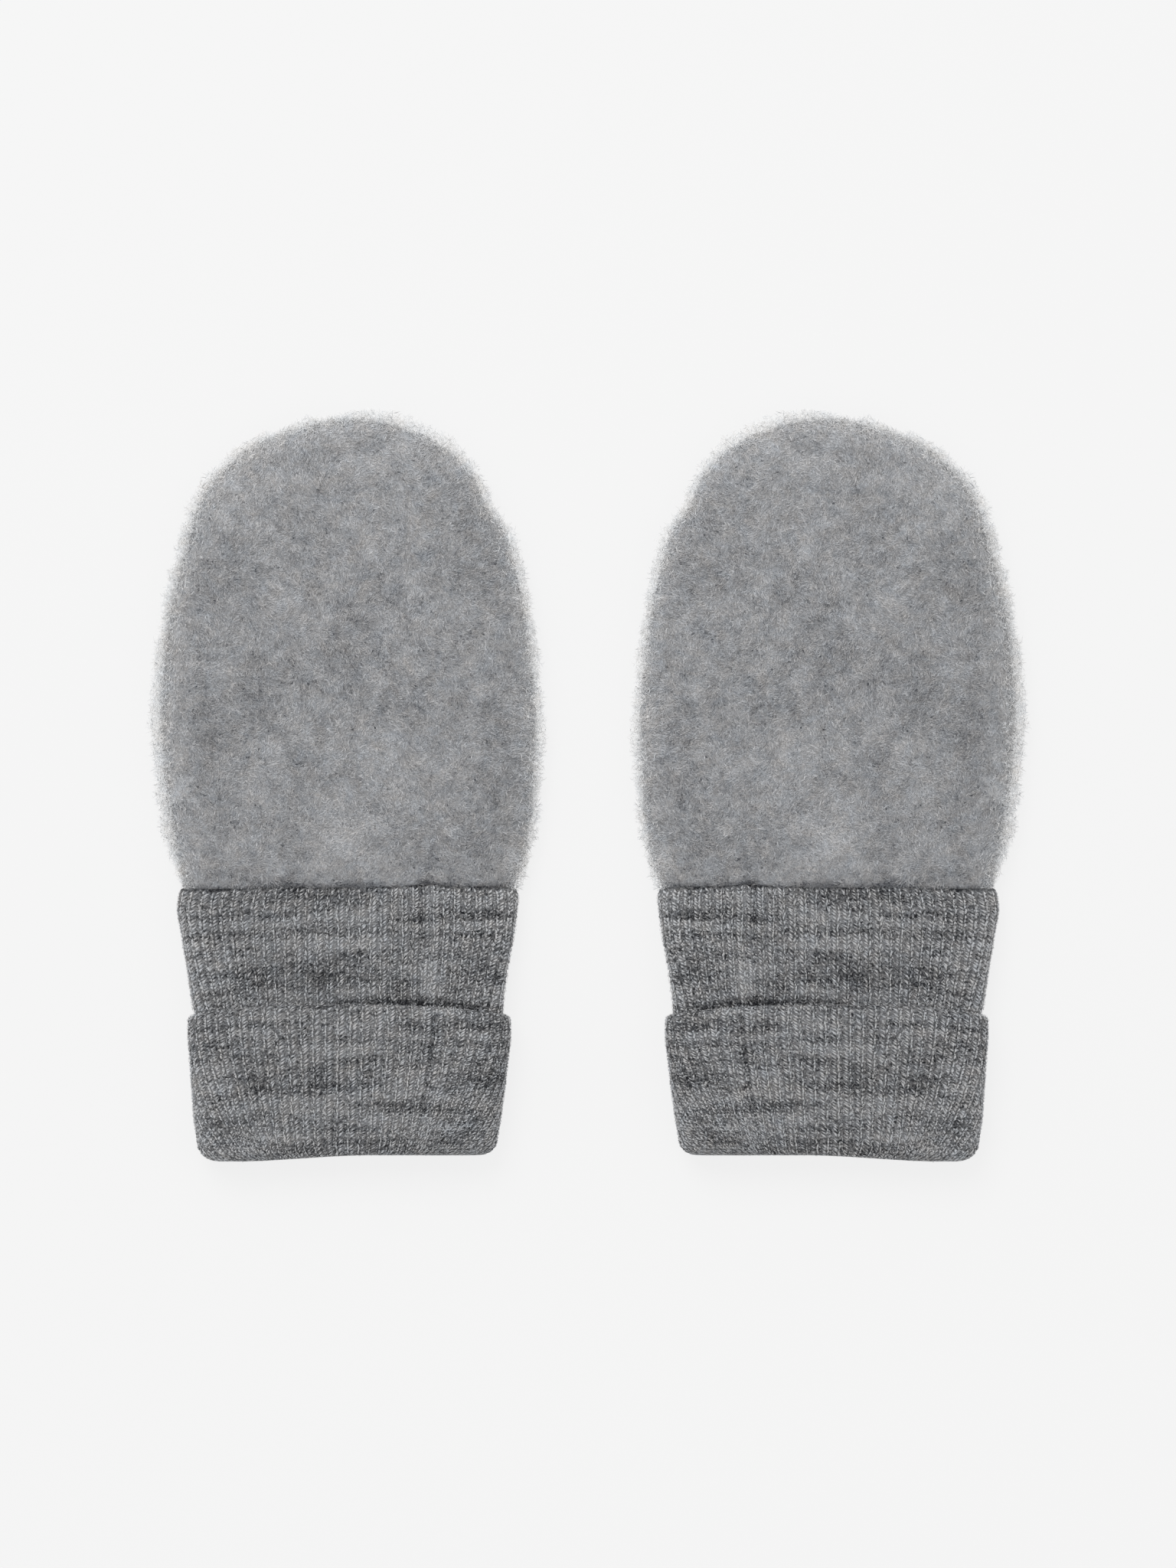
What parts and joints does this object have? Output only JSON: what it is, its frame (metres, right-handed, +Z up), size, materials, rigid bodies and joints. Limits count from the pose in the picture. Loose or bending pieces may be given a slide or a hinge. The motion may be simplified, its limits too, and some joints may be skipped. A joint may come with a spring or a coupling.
{
  "type": "pair of mittens",
  "caption": "Pair of thumbless baby mittens laid flat: rounded bags of brushed wool fleece on doubled rib-knit cuffs, each cuff turned up once.",
  "frame": {"origin": "on the table, under the middle of the box round the pair", "axes": "+Z up from the table, +Y towards the fingertips, +X from the left mitten to the right one as seen from above"},
  "size_m": [0.1666, 0.1438, 0.01],
  "materials": {
    "fleece": "brushed wool fleece, matt, with a short soft nap",
    "rib_knit": "fine one by one rib knit in mottled grey wool, matt"
  },
  "bodies": {
    "root": {"left_front": "fleece", "left_back": "fleece", "left_cuff": "rib_knit", "right_front": "fleece", "right_back": "fleece", "right_cuff": "rib_knit"}
  },
  "joints": []
}
